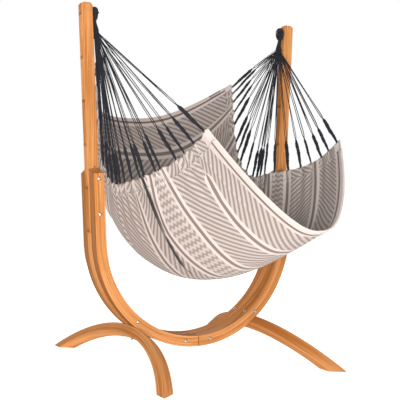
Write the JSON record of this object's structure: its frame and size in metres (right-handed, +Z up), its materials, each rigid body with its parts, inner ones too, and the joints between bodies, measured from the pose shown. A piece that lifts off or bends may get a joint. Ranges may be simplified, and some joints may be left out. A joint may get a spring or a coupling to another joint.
{
  "type": "hammock on stand",
  "caption": "Hanging lounger of striped woven cloth on black cords, swinging between the two posts of a bent laminated-wood stand with arched cross feet.",
  "frame": {"origin": "on the floor, under the centre of the whole object's box; the stand's own mid plane is at y = 0.1635", "axes": "+X from the left post to the right post, +Y towards the back of the seat, +Z up"},
  "size_m": [1.3068, 1.9073, 1.8555],
  "materials": {
    "wood": "oiled satin, visible lamination lines",
    "steel": "zinc plated, satin",
    "cord": "matt black spun cord",
    "cloth": "matt woven cotton with striped, herringbone and zigzag bands in beige and taupe",
    "label": "matt woven tape, bare"
  },
  "bodies": {
    "stand": {"left_core_beam": "wood", "left_foot": "wood", "left_foot_clamp_bolt": "steel", "left_foot_clamp_nut": "steel", "left_front_beam": "wood", "left_front_foot_bolt": "steel", "left_front_foot_nut": "steel", "left_hanging_bolt": "steel", "left_hanging_nut": "steel", "left_joint_clamp_bolt": "steel", "left_joint_clamp_nut": "steel", "left_lower_clamp_bolt": "steel", "left_lower_clamp_nut": "steel", "left_post": "wood", "left_rear_beam": "wood", "left_rear_foot_bolt": "steel", "left_rear_foot_nut": "steel", "left_sleeve": "steel", "left_upper_clamp_bolt": "steel", "left_upper_clamp_nut": "steel", "left_washer": "steel", "right_core_beam": "wood", "right_foot": "wood", "right_foot_clamp_bolt": "steel", "right_foot_clamp_nut": "steel", "right_front_beam": "wood", "right_front_foot_bolt": "steel", "right_front_foot_nut": "steel", "right_hanging_bolt": "steel", "right_hanging_nut": "steel", "right_joint_clamp_bolt": "steel", "right_joint_clamp_nut": "steel", "right_lower_clamp_bolt": "steel", "right_lower_clamp_nut": "steel", "right_post": "wood", "right_rear_beam": "wood", "right_rear_foot_bolt": "steel", "right_rear_foot_nut": "steel", "right_sleeve": "steel", "right_upper_clamp_bolt": "steel", "right_upper_clamp_nut": "steel", "right_washer": "steel"},
    "hammock": {"cloth": "cloth", "front_hem": "cloth", "left_cord_fan": "cord", "left_end_band": "cloth", "left_hanging_loop": "cord", "rear_hem": "cloth", "rear_label": "label", "right_cord_fan": "cord", "right_end_band": "cloth", "right_hanging_loop": "cord", "side_label": "label"}
  },
  "joints": [
    {"name": "swing", "type": "hinge", "parent": "stand", "child": "hammock", "pos_m": [0, 0.1635, 1.812], "axis": [1, 0, 0], "range_deg": [-30, 30]}
  ]
}
